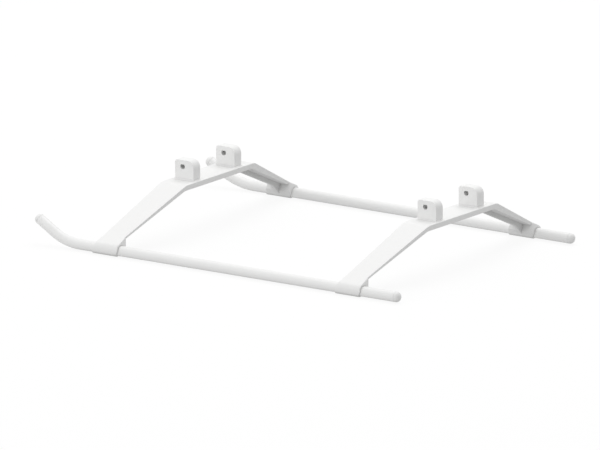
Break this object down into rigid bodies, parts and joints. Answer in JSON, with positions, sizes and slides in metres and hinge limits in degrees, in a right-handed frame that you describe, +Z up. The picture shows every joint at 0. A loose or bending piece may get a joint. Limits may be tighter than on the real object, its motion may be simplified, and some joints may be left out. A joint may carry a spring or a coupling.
{
  "type": "model helicopter landing skid set",
  "caption": "Landing skid set for a small model helicopter: moulded arch struts with drilled mounting lugs carry bent-up skid tubes closed by push-in end caps.",
  "frame": {"origin": "middle of the overall length and width, on the ground under the saddles", "axes": "+X to the tail, along the skid tubes; +Y to the helicopter's right; +Z up"},
  "size_m": [0.21, 0.1486, 0.0366],
  "materials": {
    "strut_plastic": "satin moulded white",
    "tube_paint": "satin white paint on thin-walled tube",
    "cap_plastic": "satin moulded white"
  },
  "bodies": {
    "struts": {"front_strut": "strut_plastic", "rear_strut": "strut_plastic"},
    "left_tube": {"left_skid_tube": "tube_paint"},
    "right_tube": {"right_skid_tube": "tube_paint"},
    "left_nose_cap": {"left_front_cap": "cap_plastic"},
    "right_nose_cap": {"right_front_cap": "cap_plastic"},
    "left_tail_cap": {"left_rear_cap": "cap_plastic"},
    "right_tail_cap": {"right_rear_cap": "cap_plastic"}
  },
  "joints": [
    {"name": "left_tube_slide", "type": "slide", "parent": "struts", "child": "left_tube", "axis": [1, 0, 0], "range_m": [-0.016, 0.007]},
    {"name": "right_tube_slide", "type": "slide", "parent": "struts", "child": "right_tube", "axis": [1, 0, 0], "range_m": [-0.016, 0.007]},
    {"name": "left_nose_cap_pull", "type": "slide", "parent": "left_tube", "child": "left_nose_cap", "axis": [-0.8746, 0.0758, 0.4788], "range_m": [0, 0.006]},
    {"name": "right_nose_cap_pull", "type": "slide", "parent": "right_tube", "child": "right_nose_cap", "axis": [-0.8746, -0.0758, 0.4788], "range_m": [0, 0.006]},
    {"name": "left_tail_cap_pull", "type": "slide", "parent": "left_tube", "child": "left_tail_cap", "axis": [1, 0, 0], "range_m": [0, 0.006]},
    {"name": "right_tail_cap_pull", "type": "slide", "parent": "right_tube", "child": "right_tail_cap", "axis": [1, 0, 0], "range_m": [0, 0.006]}
  ]
}
